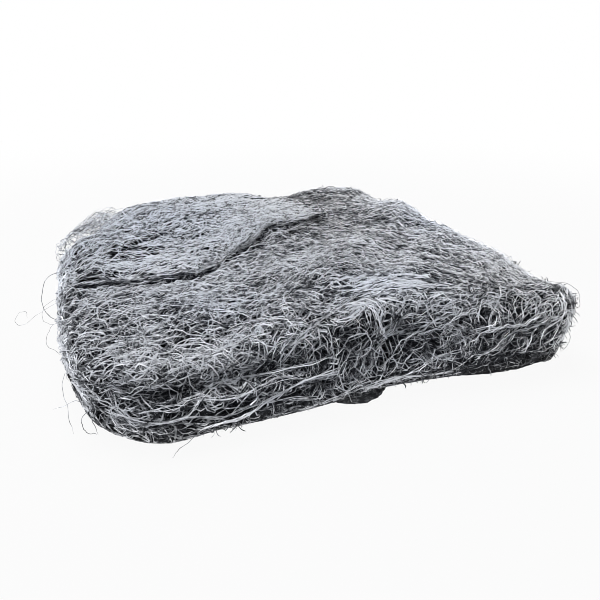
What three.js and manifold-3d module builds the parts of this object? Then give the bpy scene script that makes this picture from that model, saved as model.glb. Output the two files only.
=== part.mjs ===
// Lead wool pad: one matted slab of fine lead strands, with the end of the mat folded back over its top.
// Millimetres, +Z up. The origin is the middle of the flat underside.
// +X runs along the front side and +Y runs to the back.
import * as THREE from "three";
import { mergeVertices } from "three/addons/utils/BufferGeometryUtils.js";
import Module from "manifold-3d";

// Plan of the slab
const padLength = 130;
const padDepth = 144;
const nearLeftCorner = 20;
const nearRightCorner = 9;
const farRightCorner = 13;
const farLeftCorner = 54;
const leftTaper = 4;
const leftBulge = 2.8;
const leftBulgeAt = -28;
const leftBulgeWidth = 36;
const frontHollow = 3.5;
const frontHollowAt = 12;
const frontHollowWidth = 22;

// Thickness: the even slab, and how far each corner stands above it
const slabThickness = 18;
const edgeRoll = 6.5;
const nearLeftRise = -0.5;
const nearRightRise = 3;
const farRightRise = 2.4;
const farLeftRise = 4.4;

// Swells of the top, of which the last is the far left corner, where the mat has thinned out
const swells = [
  { x: 12, y: -72, reachX: 34, reachY: 50, height: 3.5 },
  { x: 62, y: 10, reachX: 20, reachY: 42, height: 3.6 },
  { x: 14, y: 72, reachX: 14, reachY: 14, height: -2.2 },
  { x: -62, y: 60, reachX: 15, reachY: 24, height: -10.5 },
];

// Foot of the walls: fuller at the left and right ends, and tucked in under the near left corner
const footFullness = 1;
const footEndAt = 38;
const footEndWidth = 16;
const nearTuck = 5;
const nearTuckWidth = 26;

// Hollows of the front wall, from the one under the top's edge at the left to the low one at the right
const wallHollows = [
  { x: -32, reach: 19, level: 14, half: 2.2, depth: 4.6 },
  { x: 12, reach: 10, level: 12, half: 3.4, depth: 3.6 },
  { x: 34, reach: 16, level: 10, half: 1.5, depth: 2 },
  { x: -18, reach: 12, level: 6, half: 2.4, depth: 2.4 },
  { x: -48, reach: 8, level: 4, half: 2, depth: 1.8 },
  { x: 50, reach: 12, level: 4, half: 1.6, depth: 1.6 },
];

// Relief: slow lumps, and the strands, which every second row of the mesh raises as a crest
const lumpHeight = 0.8;
const lumpPitch = 52;
const topCrest = 0.65;
const sideCrest = 1;
const crestFade = 0.35;
const crestFadePitch = 43;
const topWander = 4.5;
const topWanderPitch = 68;
const sideWander = 1.3;
const sideWanderPitch = 39;

// The folded end of the mat lies over the back left of the top, and its front edge stands clear of the slab
const flapThickness = 1.9;
const flapLength = 96;
const flapReachLeft = 83;
const flapReachNear = 90;
const flapReachRight = 51;
const flapStepStart = 12;
const flapStepEnd = 22;
const flapBendStart = 32;
const flapBendEnd = 82;
const flapTipRound = 6;
const flapTipSlant = 0.36;
const flapFray = 0.9;
const flapFrayPitch = 19;
const flapFineFray = 0.4;
const flapFineFrayPitch = 7;
const flapSideGap = 3;
const flapFadeLeft = 6;
const flapFadeBack = 7;
const flapLipGap = 0.8;
const flapLipWidth = 7;
const flapSink = 1.6;

// A tuft that has slipped out under the front edge
const tuftAt = 0.5;
const tuftWidth = 16;
const tuftReach = 7;
const tuftHeight = 3;
const tuftRoot = 9;
const tuftFray = 0.18;
const tuftFrayPitch = 0.9;

// Loose strands that stand out of the mat, three-sided as shaved lead is
const strandCount = 16;
const strandWidth = 1.1;
const strandLength = 44;
const strandGap = 0.2;
const strandProud = 0.7;
const strandSink = 2.2;
const strandLean = 1.4;
const strandCurl = 0.34;
const strandSpacing = 3;
const strandSlope = 0.3;
const strandTries = 8;

// Fineness of the meshes
const bodyColumns = 22;
const bodyRows = 76;
const bodyLevels = 10;
const flapColumns = 20;
const flapRows = 36;
const tuftSegments = 12;
const strandSteps = 9;
const strandSeed = 41;

const wasm = await Module();
wasm.setup();

const { clamp, lerp, smoothstep } = THREE.MathUtils;
const roll = Math.min(edgeRoll, slabThickness / 2);
const bell = (x) => Math.exp(-x * x);
const wave = (distance, pitch) => Math.sin((2 * Math.PI * distance) / pitch);

// Repeatable random numbers from 0 to 1
function randomSource(seed) {
  let state = seed;
  return () => {
    state = (Math.imul(state, 1664525) + 1013904223) >>> 0;
    return state / 2 ** 32;
  };
}

// The plan point that a side or corner is rounded about, and the way out from it
function anchorOf(x, y) {
  const leftCorner = y < 0 ? nearLeftCorner : farLeftCorner;
  const rightCorner = y < 0 ? nearRightCorner : farRightCorner;
  const radius = x < 0 ? leftCorner : rightCorner;
  const limitX = padLength / 2 - radius;
  const limitY = padDepth / 2 - radius;
  const anchor = new THREE.Vector2(clamp(x, -limitX, limitX), clamp(y, -limitY, limitY));
  const out = new THREE.Vector2(x, y).sub(anchor);
  return { anchor, reach: out.length(), out: out.normalize(), radius };
}

// Draws a point onto the even slab, which has rounded corners in plan and rolled top and bottom edges
function settle(p) {
  const { anchor, reach, out, radius } = anchorOf(p.x, p.y);
  const core = Math.max(radius - roll, 0);
  const beyond = Math.max(reach - core, 0);
  const middle = clamp(p.z, roll, slabThickness - roll);
  const normal = new THREE.Vector3(out.x * beyond, out.y * beyond, p.z - middle);
  if (normal.lengthSq() === 0) normal.z = 1;
  normal.normalize();
  const inner = anchor.addScaledVector(out, Math.min(reach, core));
  const point = new THREE.Vector3(inner.x, inner.y, middle).addScaledVector(normal, roll);
  return { point, normal };
}

// How far the top stands above the even slab
function riseAt(x, y) {
  const s = x / padLength + 0.5;
  const t = y / padDepth + 0.5;
  const front = lerp(nearLeftRise, nearRightRise, s);
  const back = lerp(farLeftRise, farRightRise, s);
  const swelling = (swell) =>
    swell.height * bell((x - swell.x) / swell.reachX) * bell((y - swell.y) / swell.reachY);
  return swells.map(swelling).reduce((sum, height) => sum + height, lerp(front, back, t));
}

// Turns the even slab into the pad: uneven thickness, a left side that bulges and draws in, a hollow front
function shape(p) {
  const s = clamp(p.x / padLength + 0.5, 0, 1);
  const t = clamp(p.y / padDepth + 0.5, 0, 1);
  const low = clamp(1 - p.z / slabThickness, 0, 1);
  const bulge = leftBulge * (1 - s) ** 3 * bell((p.y - leftBulgeAt) / leftBulgeWidth);
  const tuck = nearTuck * low * (1 - s) ** 3 * bell((p.y + padDepth / 2) / nearTuckWidth);
  const x = p.x + leftTaper * (1 - s) * t - bulge + tuck;
  const y = p.y + frontHollow * bell((p.x - frontHollowAt) / frontHollowWidth) * (1 - t) ** 3;
  return new THREE.Vector3(x, y, p.z * (1 + riseAt(p.x, p.y) / slabThickness));
}

// Slow lumps of the top, which fade on the sides and leave the underside flat
function lumpsAt(point, normal) {
  const { x, y } = point;
  const lumps = wave(x + lumpPitch / 6, lumpPitch) * wave(y - lumpPitch / 9, lumpPitch * 0.9);
  const ripples = 0.5 * wave(x - y, lumpPitch * 0.6);
  return lumpHeight * (lumps + ripples) * Math.max(normal.z, 0);
}

// How deep the front wall is pressed in
function pressedIn(point, normal) {
  const depthOf = (hollow) =>
    hollow.depth * bell((point.x - hollow.x) / hollow.reach) * bell((point.z - hollow.level) / hollow.half);
  return wallHollows.map(depthOf).reduce((sum, depth) => sum + depth, 0) * Math.max(-normal.y, 0);
}

// How far the foot of a wall stands out from the rolled edge at the ends of the pad
function footOf(point, normal) {
  const out = new THREE.Vector3(normal.x, normal.y, 0);
  const flat = out.length();
  if (normal.z >= 0 || flat === 0) return out.set(0, 0, 0);
  out.divideScalar(flat);
  const atLeft = smoothstep(-point.x, footEndAt, footEndAt + footEndWidth);
  const atEnds = Math.min(atLeft + Math.max(out.x, 0), 1);
  return out.multiplyScalar(footFullness * roll * atEnds * (1 - (1 - flat) ** 3 - flat));
}

// A place on the pad's surface, raised above it by a height
function onPad(p, height) {
  const { point, normal } = settle(p);
  const raised = (height + lumpsAt(point, normal)) * smoothstep(point.z, 0, roll) - pressedIn(point, normal);
  const foot = footOf(point, normal);
  return shape(point.addScaledVector(normal, raised).add(foot));
}

// Even rows are crests and odd rows are the gaps between strands. The crests fade in and out along the way.
function crestOf(row, x, y) {
  const fading = wave(x + (row * crestFadePitch) / 6, crestFadePitch) * wave(y + x, 1.4 * crestFadePitch);
  const strength = 1 - crestFade * (1 - fading);
  return (row % 2 === 0 ? 1 : -1) * strength;
}

// Three.js geometry to a closed solid and back
function solidOf(geometry) {
  geometry.deleteAttribute("normal");
  geometry.deleteAttribute("uv");
  const merged = mergeVertices(geometry, 1e-4);
  return new wasm.Manifold(
    new wasm.Mesh({
      numProp: 3,
      vertProperties: merged.getAttribute("position").array,
      triVerts: new Uint32Array(merged.index.array),
    }),
  );
}

function geometryOf(solid) {
  const { vertProperties, triVerts } = solid.getMesh();
  const geometry = new THREE.BufferGeometry();
  geometry.setAttribute("position", new THREE.BufferAttribute(vertProperties, 3));
  geometry.setIndex(new THREE.BufferAttribute(triVerts, 1));
  return geometry;
}

function moveVertices(geometry, place) {
  const position = geometry.getAttribute("position");
  const vertex = new THREE.Vector3();
  for (let i = 0; i < position.count; i++) {
    const moved = place(vertex.fromBufferAttribute(position, i));
    position.setXYZ(i, moved.x, moved.y, moved.z);
  }
  return geometry;
}

// Lattice place to pad surface. Rows wander as strands do, and the lower levels are drawn in under the edge.
function bodyPoint(column, row, level) {
  const x = (column / bodyColumns - 0.5) * padLength;
  const y = (row / bodyRows - 0.5) * padDepth;
  const z = (level / bodyLevels) * slabThickness;
  const { anchor, reach, out, radius } = anchorOf(x, y);
  const overhang = Math.max(reach - radius, 0) * (1 - z / slabThickness);
  const under = Math.max(roll - z, 0);
  const plan = anchor.addScaledVector(out, Math.max(reach - overhang - under, 0));
  const isTop = level === bodyLevels;
  const inland = 1 - ((2 * y) / padDepth) ** 2;
  const upright = wave(level, 2 * bodyLevels);
  const meander = wave(x + 0.4 * y, topWanderPitch) + 0.4 * wave(x - y, topWanderPitch / 2);
  const sway = wave(x + y, sideWanderPitch) + 0.6 * wave(x - y, 1.5 * sideWanderPitch);
  const wanderY = isTop ? topWander * inland * meander : 0;
  const wanderZ = sideWander * upright * sway;
  const crest = isTop ? topCrest * crestOf(row, x, y) : sideCrest * crestOf(level, x, y);
  return onPad(new THREE.Vector3(plan.x, plan.y + wanderY, z + wanderZ), crest);
}

// The flat underside, a fan of faces inside the rolled edge
function underside() {
  const rim = [];
  for (let column = 0; column < bodyColumns; column++) rim.push(bodyPoint(column, 0, 0));
  for (let row = 0; row < bodyRows; row++) rim.push(bodyPoint(bodyColumns, row, 0));
  for (let column = bodyColumns; column > 0; column--) rim.push(bodyPoint(column, bodyRows, 0));
  for (let row = bodyRows; row > 0; row--) rim.push(bodyPoint(0, row, 0));
  const middle = new THREE.Vector3();
  return rim.flatMap((p, i) => [middle, rim[(i + 1) % rim.length], p]).flatMap((p) => [p.x, p.y, 0]);
}

// The slab itself: the top and sides of a lattice of unit cells, drawn onto the pad, and the underside
function padBody() {
  const box = new THREE.BoxGeometry(bodyColumns, bodyRows, bodyLevels, bodyColumns, bodyRows, bodyLevels);
  box.translate(bodyColumns / 2, bodyRows / 2, bodyLevels / 2);
  const base = box.groups[5];
  box.setIndex([...box.index.array].slice(0, base.start));
  const draw = ({ x, y, z }) => bodyPoint(Math.round(x), Math.round(y), Math.round(z));
  const upper = moveVertices(box, draw).toNonIndexed().getAttribute("position").array;
  const geometry = new THREE.BufferGeometry();
  geometry.setAttribute("position", new THREE.Float32BufferAttribute([...upper, ...underside()], 3));
  return geometry;
}

// The frayed front edge of the folded end, as a distance from the back of the pad
function flapReachAt(fromLeft) {
  const near = lerp(flapReachLeft, flapReachNear, smoothstep(fromLeft, flapStepStart, flapStepEnd));
  const straight = lerp(near, flapReachRight, smoothstep(fromLeft, flapBendStart, flapBendEnd));
  const pastTip = Math.max(fromLeft - (flapLength - flapTipRound), 0);
  const rounded = straight - flapTipRound * (1 - Math.sqrt(Math.max(1 - (pastTip / flapTipRound) ** 2, 0)));
  return rounded + flapFray * wave(fromLeft, flapFrayPitch) + flapFineFray * wave(fromLeft, flapFineFrayPitch);
}

// The right edge of the folded end, as a distance from the left: it draws in from the tip towards the back
function flapEndAt(fromBack) {
  return flapLength - flapTipSlant * Math.max(flapReachRight - fromBack, 0);
}

// The folded end: a sheet over the top that grows out of its left and back edges and has a clear front lip
function flap() {
  const sheet = new THREE.BoxGeometry(flapColumns, flapRows, 1, flapColumns, flapRows, 1);
  sheet.translate(flapColumns / 2, flapRows / 2, 0);
  return moveVertices(sheet, ({ x, y, z }) => {
    const row = Math.round(y);
    const fromLeft = lerp(flapSideGap, flapLength, Math.round(x) / flapColumns);
    const fromBack = lerp(flapReachAt(fromLeft), flapSideGap, row / flapRows);
    const lip = 1 - smoothstep(flapReachAt(fromLeft) - fromBack, 0, flapLipWidth);
    const grownLeft = smoothstep(fromLeft, flapSideGap, flapSideGap + flapFadeLeft);
    const grown = grownLeft * smoothstep(fromBack, -flapFadeBack, flapFadeBack);
    const drawnIn = (fromLeft * flapEndAt(fromBack)) / flapLength;
    const over = new THREE.Vector3(drawnIn - padLength / 2, padDepth / 2 - fromBack, slabThickness);
    const crest = topCrest * crestOf(row, over.x, over.y);
    const upper = lerp(-flapSink / 2, flapThickness + lip * flapLipGap + crest, grown);
    const lower = lerp(-flapSink, flapLipGap, lip * grown);
    return onPad(over, z > 0 ? upper : lower);
  });
}

// The tuft: a low rounded tongue on the same level as the underside, rooted under the slab
function tuft() {
  const ball = new THREE.SphereGeometry(1, tuftSegments, tuftSegments / 2).rotateX(Math.PI / 2);
  const frontEdge = -padDepth / 2 + roll + frontHollow * bell((tuftAt - frontHollowAt) / frontHollowWidth);
  const halfDepth = (tuftReach + tuftRoot) / 2;
  return moveVertices(ball, ({ x, y, z }) => {
    const frayed = 1 + tuftFray * wave(x, tuftFrayPitch);
    const centre = frontEdge - tuftReach + halfDepth;
    const height = Math.max(z, 0) * tuftHeight;
    return new THREE.Vector3(tuftAt + (x * tuftWidth) / 2, centre + y * halfDepth * frayed, height);
  });
}

// A start on the top or on a side wall, and a way to go along it
function strandStart(random) {
  const turn = 2 * Math.PI * random();
  const x = (random() - 0.5) * padLength;
  const y = (random() - 0.5) * padDepth;
  const low = lerp(roll, slabThickness - roll, random());
  const slope = strandSlope * Math.sin(turn);
  const place = random();
  if (place < 0.5) {
    const heading = new THREE.Vector3(Math.cos(turn), Math.sin(turn) / 2, 0);
    return { at: new THREE.Vector3(x, y, slabThickness), heading };
  }
  if (place < 0.8) {
    const front = place < 0.7 ? -padDepth : padDepth;
    return { at: new THREE.Vector3(x, front / 2, low), heading: new THREE.Vector3(1, 0, slope) };
  }
  const side = place < 0.9 ? -padLength : padLength;
  return { at: new THREE.Vector3(side / 2, y, low), heading: new THREE.Vector3(0, 1, slope) };
}

// The way of one strand: it comes up out of the mat, wanders over the top and sides and goes back in
function strandPath(random) {
  const { at, heading } = strandStart(random);
  const height = topCrest + strandWidth / 2 + strandGap + strandProud * random();
  const points = [];
  let bend = 0;
  for (let i = 0; i <= strandSteps; i++) {
    const { point, normal } = settle(at);
    bend = clamp(bend + strandCurl * (random() - 0.5), -strandCurl, strandCurl);
    heading.addScaledVector(normal, -heading.dot(normal)).normalize().applyAxisAngle(normal, bend);
    const isFirst = i === 0;
    const isLast = i === strandSteps;
    const pressed = pressedIn(point, normal);
    const inside = point.clone().addScaledVector(normal, -strandSink - pressed);
    if (isFirst) points.push(inside.clone().addScaledVector(heading, -strandLean));
    points.push(point.clone().addScaledVector(normal, height + lumpsAt(point, normal) - pressed));
    if (isLast) points.push(inside.addScaledVector(heading, strandLean));
    at.copy(point).addScaledVector(heading, strandLength / strandSteps);
    at.z = Math.max(at.z, roll);
  }
  return points.map(shape);
}

// A three-sided bar along a way
function strand(points) {
  const corner = (k) => new THREE.Vector2(Math.cos((k * 2 * Math.PI) / 3), Math.sin((k * 2 * Math.PI) / 3));
  const section = new THREE.Shape([0, 1, 2].map((k) => corner(k).multiplyScalar(strandWidth / 2)));
  const extrudePath = new THREE.CatmullRomCurve3(points);
  return new THREE.ExtrudeGeometry(section, { steps: strandSteps + 2, bevelEnabled: false, extrudePath });
}

// Whether a place lies on the folded end or just in front of it
function isByFlap({ x, y }) {
  const fromLeft = x + padLength / 2;
  const fromBack = padDepth / 2 - y;
  return fromLeft < flapLength + strandSpacing && fromBack < flapReachAt(fromLeft) + strandSpacing;
}

// Strands that keep clear of one another and of the folded end
function looseStrands() {
  const random = randomSource(strandSeed);
  const kept = [];
  for (let attempt = 0; attempt < strandTries * strandCount && kept.length < strandCount; attempt++) {
    const path = strandPath(random);
    const isNear = (point) => path.some((other) => other.distanceTo(point) < strandSpacing);
    if (!path.some(isByFlap) && !kept.flat().some(isNear)) kept.push(path);
  }
  return kept.map(strand);
}

// Everything is one tangled piece, so all of it is joined, and pockets closed in between are filled
function leadWoolPad() {
  const pieces = [padBody(), flap(), tuft(), ...looseStrands()].map(solidOf);
  const joined = pieces.reduce((whole, piece) => whole.add(piece));
  const outerShell = joined.decompose().reduce((a, b) => (a.volume() > b.volume() ? a : b));
  const geometry = geometryOf(outerShell);
  geometry.computeBoundingBox();
  const centre = geometry.boundingBox.getCenter(new THREE.Vector3());
  geometry.translate(-centre.x, -centre.y, -geometry.boundingBox.min.z);
  geometry.computeVertexNormals();
  const lead = new THREE.MeshStandardMaterial({ color: 0x74787f, roughness: 0.5, metalness: 0.9 });
  const mesh = new THREE.Mesh(geometry, lead);
  mesh.name = "lead_wool_pad";
  return mesh;
}

const part = new THREE.Group();
part.add(leadWoolPad());

export default part;
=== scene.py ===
# Lead wool: a pad of fine, kinked lead strands, with the end of the mat folded back over its top
import math
import bpy
import numpy as np
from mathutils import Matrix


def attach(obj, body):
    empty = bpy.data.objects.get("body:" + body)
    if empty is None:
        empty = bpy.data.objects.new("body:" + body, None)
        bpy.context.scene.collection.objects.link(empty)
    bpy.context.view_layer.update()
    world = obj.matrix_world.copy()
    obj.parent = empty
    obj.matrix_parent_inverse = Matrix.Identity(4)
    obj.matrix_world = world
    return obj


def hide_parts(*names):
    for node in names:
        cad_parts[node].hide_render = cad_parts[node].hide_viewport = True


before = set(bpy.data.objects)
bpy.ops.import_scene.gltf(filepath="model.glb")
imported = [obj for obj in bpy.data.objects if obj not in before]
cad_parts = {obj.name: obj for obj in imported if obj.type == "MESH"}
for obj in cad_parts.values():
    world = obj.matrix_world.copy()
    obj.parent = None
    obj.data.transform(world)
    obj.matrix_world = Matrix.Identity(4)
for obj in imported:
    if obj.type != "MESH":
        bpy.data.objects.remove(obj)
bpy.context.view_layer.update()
scene = bpy.context.scene

# The mat's own form in mm: the slab of the solids, with the foot of its right end tucked in by endTuck.
# The foot turns square between footFrom and footTo at the left, and middle is the mat's centre in the frame.
matForm = {
    "length": 130.0, "depth": 144.0, "thickness": 18.0, "roll": 6.5,
    "footSquare": 1.0, "footFrom": 38.0, "footTo": 54.0,
    "cornerNearLeft": 20.0, "cornerNearRight": 9.0, "cornerFarRight": 13.0, "cornerFarLeft": 54.0,
    "riseNearLeft": -0.5, "riseNearRight": 3.0, "riseFarRight": 2.4, "riseFarLeft": 4.4,
    "leftTaper": 4.0, "leftBulge": 2.8, "leftBulgeAt": -28.0, "leftBulgeWidth": 36.0,
    "nearTuck": 5.0, "nearTuckWidth": 26.0,
    "endTuck": 3.6, "endTuckWidth": 24.0, "endTuckLow": 5.0, "endTuckHigh": 12.0, "endTuckFade": 6,
    "frontHollow": 3.5, "frontHollowAt": 12.0, "frontHollowWidth": 22.0,
    "lump": 0.8, "lumpPitch": 52.0, "lumpStretch": 0.9, "skewLump": 0.5, "skewPitch": 0.6,
    "middle": (-0.27, 0.38, 0.0),
}

# Swells of the top in mm: middle x and y, reach in x and y, height. The last one is the drop at the far
# left corner.
cornerDrop = (-62, 60, 15, 24, -10.5)
swells = ((12, -72, 34, 50, 3.5), (62, 10, 20, 42, 3.6), (14, 72, 14, 14, -2.2), cornerDrop)

# Hollows of the front wall in mm: middle x, reach, height, half height, depth
hollows = ((-32, 19, 14.0, 2.2, 4.6), (12, 10, 12.0, 3.4, 3.6), (34, 16, 10.0, 1.5, 2.0),
           (-18, 12, 6.0, 2.4, 2.4), (-48, 8, 4.0, 2.0, 1.8), (50, 12, 4.0, 1.6, 1.6))

# The folded end in mm: how far it comes forward from the back at the left and at its tip, the slit under
# its lip at the left, the valley beside its edge at the right, and a crack in its top
foldForm = {
    "thickness": 1.5, "tipThickness": 1.9, "flushShare": 0.6, "flushAt": 0.25, "flushWidth": 0.22,
    "length": 96.0, "reachLeft": 83.0, "reachNear": 90.0, "reachRight": 51.0,
    "stepStart": 12.0, "stepEnd": 22.0, "bendStart": 32.0, "bendEnd": 82.0, "tipRound": 6.0, "tipSlant": 0.36,
    "fray": 0.9, "frayPitch": 19.0, "fineFray": 0.4, "fineFrayPitch": 7.03,
    "sideGap": 3.0, "fadeLeft": 6.0, "fadeBack": 7.0, "topSink": 0.2, "sink": 1.6,
    "lipGap": 0.3, "lipWidth": 7.0, "slitDepth": 2.7, "slitWidth": 0.95, "slitAt": -0.2, "slitFade": 12,
    "valleyDepth": 1.0, "valleyWidth": 0.9,
    "crackStart": (-50, 3), "crackEnd": (-31, 20), "crackDepth": 1.2, "crackWidth": 0.6,
    "crackWave": 0.7, "crackPitch": 11.0, "crackEase": 4.0,
}


def smoothStep(x, low, high):  # 0 below low, 1 above high, an S curve between
    t = np.clip((x - low) / (high - low), 0, 1)
    return t * t * (3 - 2 * t)


def bell(x):  # 1 in the middle, falling off on both sides
    return np.exp(-x * x)


def wave(distance, pitch):  # sine of a distance, one turn for each pitch
    return np.sin(2 * np.pi * distance / pitch)


def unit(v):  # vectors scaled to length 1
    return v / np.maximum(np.linalg.norm(v, axis=-1, keepdims=True), 1e-9)


def dot(a, b):  # products of pairs of vectors
    return np.sum(a * b, axis=-1, keepdims=True)


# Nearest place on the even slab and the way out there: the plan is a rectangle with four corner radii,
# and its top and bottom edges are rolled with one radius.
def settle(p, cornerFarLeft=matForm["cornerFarLeft"]):
    f = matForm
    x, y, z = p[..., 0], p[..., 1], p[..., 2]
    left = np.where(y < 0, f["cornerNearLeft"], cornerFarLeft)
    right = np.where(y < 0, f["cornerNearRight"], f["cornerFarRight"])
    corner = np.where(x < 0, left, right)
    limit = np.stack([f["length"] / 2 - corner, f["depth"] / 2 - corner], -1)
    anchor = np.clip(p[..., :2], -limit, limit)
    out = p[..., :2] - anchor
    reach = np.linalg.norm(out, axis=-1, keepdims=True)
    out = out / np.maximum(reach, 1e-9)
    core = np.maximum(corner - f["roll"], 0)[..., None]
    middle = np.clip(z, f["roll"], f["thickness"] - f["roll"])[..., None]
    up = np.concatenate([out * np.maximum(reach - core, 0), z[..., None] - middle], -1)
    up[np.linalg.norm(up, axis=-1) < 1e-6] = (0, 0, 1)
    up = unit(up)
    inner = np.concatenate([anchor + out * np.minimum(reach, core), middle], -1)
    return inner + up * f["roll"], up


def pressedIn(place, up):  # depth of the front wall's hollows: a bell along and a bell up the wall for each
    x, z = place[..., 0], place[..., 2]
    total = 0
    for middle, reach, level, half, deep in hollows:
        total = total + deep * bell((x - middle) / reach) * bell((z - level) / half)
    return total * np.maximum(-up[..., 1], 0)


# Even slab to mat: hollows press the front wall in, thickness grows by each corner's rise and the swells,
# the left side bulges and draws in towards the back, the front is hollow, two corners are tucked in below,
# and slow lumps lift the top. The result is in metres.
def onMat(place, up, height):
    f = matForm
    x, y, z = place[..., 0], place[..., 1], place[..., 2]
    pitch = f["lumpPitch"]
    lumps = wave(x + pitch / 6, pitch) * wave(y - pitch / 9, pitch * f["lumpStretch"])
    lumps = lumps + f["skewLump"] * wave(x - y, pitch * f["skewPitch"])
    lumps = f["lump"] * lumps * np.maximum(up[..., 2], 0)
    raised = (height + lumps) * smoothStep(z, 0, f["roll"]) - pressedIn(place, up)
    p = place + up * raised[..., None]
    out = np.linalg.norm(up[..., :2], axis=-1, keepdims=True)
    outward = up[..., :2] / np.maximum(out, 1e-6)
    atLeft = smoothStep(-x, f["footFrom"], f["footTo"])
    atEnds = np.clip(atLeft + np.maximum(outward[..., 0], 0), 0, 1)[..., None]
    foot = f["footSquare"] * f["roll"] * (1 - (1 - out) ** 3 - out) * (up[..., 2:] < 0)
    p[..., :2] += foot * atEnds * outward
    s = p[..., 0] / f["length"] + 0.5
    t = p[..., 1] / f["depth"] + 0.5
    front = f["riseNearLeft"] + (f["riseNearRight"] - f["riseNearLeft"]) * s
    back = f["riseFarLeft"] + (f["riseFarRight"] - f["riseFarLeft"]) * s
    rise = front + (back - front) * t
    for atX, atY, reachX, reachY, tall in swells:
        rise = rise + tall * bell((p[..., 0] - atX) / reachX) * bell((p[..., 1] - atY) / reachY)
    st, tt = np.clip(s, 0, 1), np.clip(t, 0, 1)
    hollow = bell((p[..., 0] - f["frontHollowAt"]) / f["frontHollowWidth"]) * (1 - tt) ** 3
    bulge = f["leftBulge"] * (1 - st) ** 3 * bell((p[..., 1] - f["leftBulgeAt"]) / f["leftBulgeWidth"])
    low = np.clip(1 - p[..., 2] / f["thickness"], 0, 1)
    fromFront = p[..., 1] + f["depth"] / 2
    tuck = f["nearTuck"] * low * (1 - st) ** 3 * bell(fromFront / f["nearTuckWidth"])
    under = 1 - smoothStep(p[..., 2], f["endTuckLow"], f["endTuckHigh"])
    tuck -= f["endTuck"] * under * st ** f["endTuckFade"] * bell(fromFront / f["endTuckWidth"])
    made = np.stack([
        p[..., 0] + f["leftTaper"] * (1 - st) * tt - bulge + tuck,
        p[..., 1] + f["frontHollow"] * hollow,
        p[..., 2] * (1 + rise / f["thickness"]),
    ], -1)
    return (made + f["middle"]) / 1000


# Front edge of the folded end as a distance from the back: a straight run, an S curve and a rounded tip,
# frayed by two waves
def foldReach(fromLeft):
    f = foldForm
    swing = smoothStep(fromLeft, f["bendStart"], f["bendEnd"])
    stepped = smoothStep(fromLeft, f["stepStart"], f["stepEnd"])
    near = f["reachLeft"] + (f["reachNear"] - f["reachLeft"]) * stepped
    straight = near + (f["reachRight"] - near) * swing
    pastTip = np.clip((fromLeft - f["length"] + f["tipRound"]) / f["tipRound"], 0, 1)
    rounded = straight - f["tipRound"] * (1 - np.sqrt(1 - pastTip ** 2))
    frayed = f["fray"] * wave(fromLeft, f["frayPitch"]) + f["fineFray"] * wave(fromLeft, f["fineFrayPitch"])
    return rounded + frayed


# Right edge of the folded end as a distance from the left: it draws in from the tip towards the back
def foldEnd(fromBack):
    return foldForm["length"] - foldForm["tipSlant"] * np.maximum(foldForm["reachRight"] - fromBack, 0)


# How far a place lies inside the folded end's front and right edges, in mm, and how far to the right along
# it, from 0 to 1
def insideFold(x, y):
    f = foldForm
    fromLeft, fromBack = x + matForm["length"] / 2, matForm["depth"] / 2 - y
    inside = np.minimum(foldReach(fromLeft) - fromBack, foldEnd(fromBack) - fromLeft)
    return inside, smoothStep(fromLeft, f["bendStart"], f["bendEnd"])


# Top and bottom heights of the folded end over the slab: it grows out of the left and back edges, lifts at
# its lip and is cracked along a line
def foldHeights(x, y):
    f = foldForm
    inside, swing = insideFold(x, y)
    lip = 1 - smoothStep(inside, 0, f["lipWidth"])
    grown = smoothStep(x + matForm["length"] / 2, f["sideGap"], f["sideGap"] + f["fadeLeft"])
    grown = grown * smoothStep(matForm["depth"] / 2 - y, -f["fadeBack"], f["fadeBack"])
    flush = 1 - f["flushShare"] * bell((swing - f["flushAt"]) / f["flushWidth"])
    thick = (f["thickness"] + (f["tipThickness"] - f["thickness"]) * swing) * (1 + (flush - 1) * lip)
    gap = f["lipGap"] * flush
    a, b = np.array(f["crackStart"]), np.array(f["crackEnd"])
    run, ease = np.linalg.norm(b - a), f["crackEase"]
    line = (b - a) / run
    along = (x - a[0]) * line[0] + (y - a[1]) * line[1]
    off = (x - a[0]) * line[1] - (y - a[1]) * line[0] + f["crackWave"] * wave(along, f["crackPitch"])
    crack = bell(off / f["crackWidth"]) * smoothStep(along, -ease, ease)
    crack = f["crackDepth"] * crack * (1 - smoothStep(along, run - ease, run + ease))
    upper = -f["topSink"] + (thick + lip * gap + f["topSink"]) * grown - crack
    lower = -f["sink"] + (gap + f["sink"]) * lip * grown
    return upper, lower, inside, crack


# Depth by which the slab's top sinks along the fold's edge: a narrow slit at the left, a valley at the right
def besideFold(place, up):
    f = foldForm
    inside, swing = insideFold(place[..., 0], place[..., 1])
    slit = f["slitDepth"] * bell((inside - f["slitAt"]) / f["slitWidth"]) * (1 - swing) ** f["slitFade"]
    valley = f["valleyDepth"] * bell((inside + f["valleyWidth"] / 2) / f["valleyWidth"]) * swing
    shown = smoothStep(place[..., 0] + matForm["length"] / 2, f["sideGap"], f["sideGap"] + f["fadeLeft"])
    return (slit + valley) * shown * np.maximum(up[..., 2], 0)


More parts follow.
